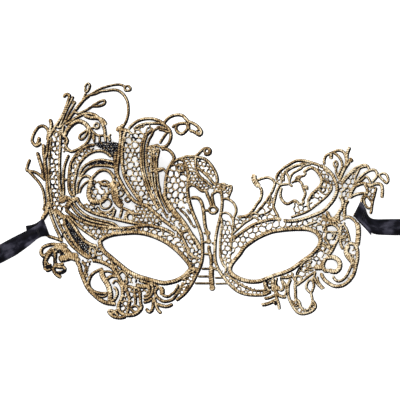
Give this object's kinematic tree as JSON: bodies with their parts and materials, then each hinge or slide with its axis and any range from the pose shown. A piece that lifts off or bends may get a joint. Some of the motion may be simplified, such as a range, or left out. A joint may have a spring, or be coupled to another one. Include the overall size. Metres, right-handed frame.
{
  "type": "venetian masquerade mask",
  "caption": "Lace half mask of gilt scrollwork with almond eye openings, arched to sit on a face and folding at the nose, with a satin tie ribbon hinged in an eyelet on each side.",
  "frame": {"origin": "centre of the footprint, on the surface that the mask lies on face up", "axes": "+X across the face towards the wearer's left when worn, +Y towards the forehead, +Z out of the face"},
  "size_m": [0.304, 0.1548, 0.0192],
  "materials": {
    "gilt_lace": "stitched cord lace, gilt on its raised faces and black in its shadows",
    "black_satin": "satin ribbon",
    "black_thread": "matt sewing thread"
  },
  "bodies": {
    "left_half": {"left_eye_rim": "gilt_lace", "left_brow": "gilt_lace", "left_cheek": "gilt_lace", "left_eyelet": "gilt_lace", "left_trunk": "gilt_lace", "left_column": "gilt_lace", "left_hooks": "gilt_lace", "left_curl": "gilt_lace", "top_stems": "gilt_lace", "whiskers": "gilt_lace", "small_arch": "gilt_lace", "fan_rim": "gilt_lace", "fan_band": "gilt_lace", "medallion": "gilt_lace", "plume_left_edge": "gilt_lace", "plume_right_edge": "gilt_lace", "plume_crest": "gilt_lace", "crest_curls": "gilt_lace", "plume_inner_column": "gilt_lace", "centre_scroll": "gilt_lace", "centre_leaf": "gilt_lace", "centre_stem": "gilt_lace", "nose_knot": "gilt_lace", "nose_drop": "gilt_lace", "left_cheek_flower": "gilt_lace", "left_lower_scroll": "gilt_lace", "left_fronds": "gilt_lace", "left_star": "gilt_lace"},
    "right_half": {"right_eye_rim": "gilt_lace", "right_nose": "gilt_lace", "right_brow": "gilt_lace", "right_finial": "gilt_lace", "right_crest": "gilt_lace", "right_crest_arcs": "gilt_lace", "right_bowl": "gilt_lace", "right_inner_arc": "gilt_lace", "right_flourish": "gilt_lace", "right_feather": "gilt_lace", "right_loop": "gilt_lace", "right_eyelet": "gilt_lace", "right_column": "gilt_lace", "right_side_scroll": "gilt_lace", "right_band": "gilt_lace", "right_cheek_curl": "gilt_lace", "right_fronds": "gilt_lace", "right_star": "gilt_lace"},
    "left_tie": {"left_ribbon": "black_satin", "left_ribbon_tack": "black_thread", "left_ribbon_roll": "black_satin"},
    "right_tie": {"right_ribbon": "black_satin", "right_ribbon_tack": "black_thread", "right_ribbon_roll": "black_satin"}
  },
  "joints": [
    {"name": "nose_fold", "type": "hinge", "parent": "left_half", "child": "right_half", "pos_m": [0.01482, -0.00707, 0.0186], "axis": [0.1467, 0.9892, 0], "range_deg": [-20, 70], "stiffness_Nm_per_rad": 0.2},
    {"name": "left_tie_swing", "type": "hinge", "parent": "left_half", "child": "left_tie", "pos_m": [-0.10108, -0.01907, 0.0017], "axis": [-0.365, 0.931, 0], "range_deg": [-90, 110]},
    {"name": "right_tie_swing", "type": "hinge", "parent": "right_half", "child": "right_tie", "pos_m": [0.10622, -0.00737, 0.0017], "axis": [-0.5262, -0.8504, 0], "range_deg": [-90, 110]}
  ]
}
